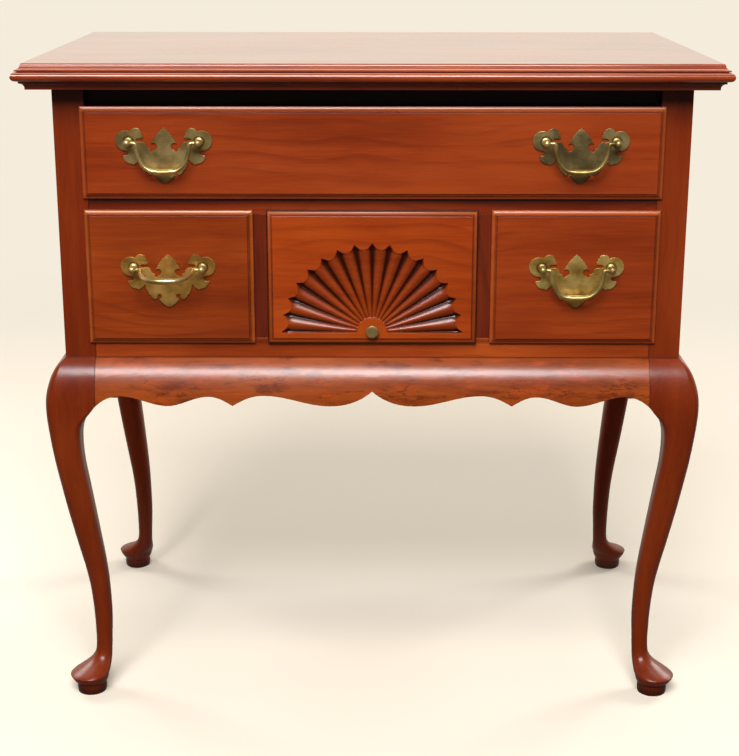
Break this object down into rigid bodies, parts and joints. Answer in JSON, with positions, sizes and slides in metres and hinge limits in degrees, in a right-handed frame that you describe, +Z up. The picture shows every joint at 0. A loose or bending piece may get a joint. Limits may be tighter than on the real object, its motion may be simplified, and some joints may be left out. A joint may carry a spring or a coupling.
{
  "type": "lowboy",
  "caption": "Queen Anne style lowboy: a wide lipped drawer over short ones, carved fan, scalloped apron, cabriole legs with pad feet, and bail pulls that swing.",
  "frame": {"origin": "floor level, under the middle of the overall bounding box", "axes": "+X to the viewer's right along the front, +Y from the front to the back, +Z up"},
  "size_m": [0.762, 0.4814, 0.746],
  "materials": {
    "cherry_top": "polished",
    "cherry": "satin",
    "cherry_leg": "satin",
    "cherry_drawer_front": "satin",
    "cherry_apron": "satin",
    "poplar": "raw",
    "aged_brass": "antiqued",
    "screw_steel": "plain"
  },
  "bodies": {
    "case": {"top_board": "cherry_top", "front_cove_moulding": "cherry_top", "left_cove_moulding": "cherry_top", "right_cove_moulding": "cherry_top", "front_left_leg": "cherry_leg", "front_right_leg": "cherry_leg", "rear_left_leg": "cherry_leg", "rear_right_leg": "cherry_leg", "left_side_panel": "cherry", "right_side_panel": "cherry", "top_rail": "cherry", "middle_rail": "cherry", "bottom_rail": "cherry", "left_divider_stile": "cherry", "right_divider_stile": "cherry", "front_apron": "cherry_apron", "left_side_apron": "cherry_apron", "right_side_apron": "cherry_apron", "back_panel": "poplar", "back_rails": "poplar", "top_kickers": "poplar", "upper_runners": "poplar", "lower_runners": "poplar", "drawer_guides": "poplar", "glue_blocks": "poplar", "top_screws": "screw_steel"},
    "top_drawer": {"top_drawer_front": "cherry_drawer_front", "top_drawer_left_side": "poplar", "top_drawer_right_side": "poplar", "top_drawer_back": "poplar", "top_drawer_bottom": "poplar", "top_left_pull_plate": "aged_brass", "top_left_pull_posts": "aged_brass", "top_right_pull_plate": "aged_brass", "top_right_pull_posts": "aged_brass"},
    "left_drawer": {"left_drawer_front": "cherry_drawer_front", "left_drawer_left_side": "poplar", "left_drawer_right_side": "poplar", "left_drawer_back": "poplar", "left_drawer_bottom": "poplar", "left_pull_plate": "aged_brass", "left_pull_posts": "aged_brass"},
    "middle_drawer": {"middle_drawer_front": "cherry_drawer_front", "middle_drawer_left_side": "poplar", "middle_drawer_right_side": "poplar", "middle_drawer_back": "poplar", "middle_drawer_bottom": "poplar", "fan_knob": "aged_brass"},
    "right_drawer": {"right_drawer_front": "cherry_drawer_front", "right_drawer_left_side": "poplar", "right_drawer_right_side": "poplar", "right_drawer_back": "poplar", "right_drawer_bottom": "poplar", "right_pull_plate": "aged_brass", "right_pull_posts": "aged_brass"},
    "top_left_pull_handle": {"top_left_pull_bail": "aged_brass"},
    "top_right_pull_handle": {"top_right_pull_bail": "aged_brass"},
    "left_pull_handle": {"left_pull_bail": "aged_brass"},
    "right_pull_handle": {"right_pull_bail": "aged_brass"}
  },
  "joints": [
    {"name": "top_drawer_slide", "type": "slide", "parent": "case", "child": "top_drawer", "axis": [0, -1, 0], "range_m": [0, 0.3]},
    {"name": "left_drawer_slide", "type": "slide", "parent": "case", "child": "left_drawer", "axis": [0, -1, 0], "range_m": [0, 0.3]},
    {"name": "middle_drawer_slide", "type": "slide", "parent": "case", "child": "middle_drawer", "axis": [0, -1, 0], "range_m": [0, 0.3]},
    {"name": "right_drawer_slide", "type": "slide", "parent": "case", "child": "right_drawer", "axis": [0, -1, 0], "range_m": [0, 0.3]},
    {"name": "top_left_pull_swing", "type": "hinge", "parent": "top_drawer", "child": "top_left_pull_handle", "pos_m": [-0.225, -0.20629, 0.6615], "axis": [-1, 0, 0], "range_deg": [-15, 190]},
    {"name": "top_right_pull_swing", "type": "hinge", "parent": "top_drawer", "child": "top_right_pull_handle", "pos_m": [0.225, -0.20629, 0.6615], "axis": [-1, 0, 0], "range_deg": [-15, 190]},
    {"name": "left_pull_swing", "type": "hinge", "parent": "left_drawer", "child": "left_pull_handle", "pos_m": [-0.225, -0.20629, 0.523], "axis": [-1, 0, 0], "range_deg": [-94, 111]},
    {"name": "right_pull_swing", "type": "hinge", "parent": "right_drawer", "child": "right_pull_handle", "pos_m": [0.225, -0.20629, 0.523], "axis": [-1, 0, 0], "range_deg": [-15, 190]}
  ]
}
